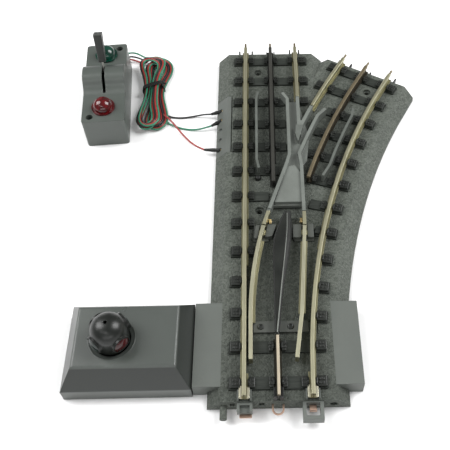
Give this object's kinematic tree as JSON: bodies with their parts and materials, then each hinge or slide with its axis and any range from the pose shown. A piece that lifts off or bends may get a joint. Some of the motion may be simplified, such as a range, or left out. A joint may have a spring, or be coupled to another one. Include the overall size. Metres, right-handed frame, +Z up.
{
  "type": "model turnout switch",
  "caption": "Three-rail model railway turnout for the right-hand route, with swinging points, powered throw bar, turning lantern box and a wired lever controller.",
  "frame": {"origin": "on the base plane, under the straight route's centre rail at the toe end", "axes": "+X to the right of the straight route, +Y along the straight route away from the toe end, +Z up"},
  "size_m": [0.2215, 0.2719, 0.0502],
  "materials": {
    "roadbed_plastic": "moulded with fine ballast texture on the slopes",
    "tie_plastic": "moulded wood grain",
    "running_rail": "rolled, slightly tarnished",
    "centre_rail": "blackened rail",
    "frog_metal": "cast, satin gray",
    "steel": "plated",
    "brass": "plain",
    "copper": "plain copper strip",
    "black_plastic": "satin moulded",
    "box_plastic": "semi-gloss moulded",
    "enamelled_wire": "wound",
    "board": "coated",
    "bulb_glass": "clear",
    "red_lens": "clear red",
    "green_lens": "clear green",
    "green_wire": "insulation",
    "red_wire": "insulation",
    "black_wire": "insulation"
  },
  "bodies": {
    "track": {"roadbed": "roadbed_plastic", "bottom_cover": "black_plastic", "base_screws": "steel", "ties_straight": "tie_plastic", "ties_curved": "tie_plastic", "stock_rail_straight": "running_rail", "stock_rail_curved": "running_rail", "exit_rails": "running_rail", "centre_rail_toe": "running_rail", "centre_rail_straight": "centre_rail", "centre_rail_curved": "centre_rail", "rail_pins": "steel", "frog_casting": "frog_metal", "guard_rail_left": "frog_metal", "guard_rail_right": "frog_metal", "centre_wedge": "centre_rail", "wedge_ridge": "steel", "closure_rails": "running_rail", "heel_brackets": "frog_metal", "heel_pins": "steel", "toe_clips": "frog_metal", "contact_strips": "copper", "end_clips": "steel", "terminal_block": "roadbed_plastic", "terminal_sockets": "brass", "motor_cover": "box_plastic", "motor_base": "black_plastic", "mounting_strap": "steel", "coil_bobbins": "black_plastic", "coil_windings": "enamelled_wire", "coil_frame": "steel", "circuit_board": "board", "lantern_lamp": "bulb_glass", "controller_case": "box_plastic", "controller_base": "black_plastic", "controller_lens_red": "red_lens", "controller_lens_green": "green_lens", "controller_bulbs": "bulb_glass", "controller_board": "board", "lever_pin": "steel", "wire_grommet": "black_plastic", "flat_cable": "black_wire", "wire_hank": "black_wire", "hank_tie": "black_plastic", "wire_black": "black_wire", "wire_green": "green_wire", "wire_red": "red_wire", "wire_boots": "black_plastic"},
    "throw_bar": {"throw_bar": "frog_metal", "throw_bar_rivets": "steel", "drive_link": "black_plastic", "plunger": "steel"},
    "left_point": {"point_rail_curved": "running_rail"},
    "right_point": {"point_rail_straight": "running_rail"},
    "lantern": {"lantern_shaft": "black_plastic", "lantern_body": "black_plastic", "lantern_lenses_red": "red_lens", "lantern_lenses_green": "green_lens"},
    "lever": {"lever_rod": "steel", "lever_knob": "black_plastic"}
  },
  "joints": [
    {"name": "throw", "type": "slide", "parent": "track", "child": "throw_bar", "axis": [1, 0, 0], "range_m": [0, 0.00379]},
    {"name": "left_point_heel", "type": "hinge", "parent": "track", "child": "left_point", "pos_m": [-0.0069, 0.0995, 0.012], "axis": [0, 0, 1], "range_deg": [0, 3.68]},
    {"name": "right_point_heel", "type": "hinge", "parent": "track", "child": "right_point", "pos_m": [0.017, 0.099, 0.012], "axis": [0, 0, 1], "range_deg": [0, 3.71]},
    {"name": "lantern_turn", "type": "hinge", "parent": "track", "child": "lantern", "pos_m": [-0.0832, 0.0298, 0.02], "axis": [0, 0, -1], "range_deg": [0, 90.1]},
    {"name": "lever_pivot", "type": "hinge", "parent": "track", "child": "lever", "pos_m": [-0.10887, 0.2167, 0.0105], "axis": [0.9973, 0.0732, 0], "range_deg": [0, 40]}
  ],
  "couplings": [
    {"joint": "left_point_heel", "follows": "throw", "rad_per_m": 16.921},
    {"joint": "right_point_heel", "follows": "throw", "rad_per_m": 17.065},
    {"joint": "lantern_turn", "follows": "throw", "rad_per_m": 414.46}
  ]
}
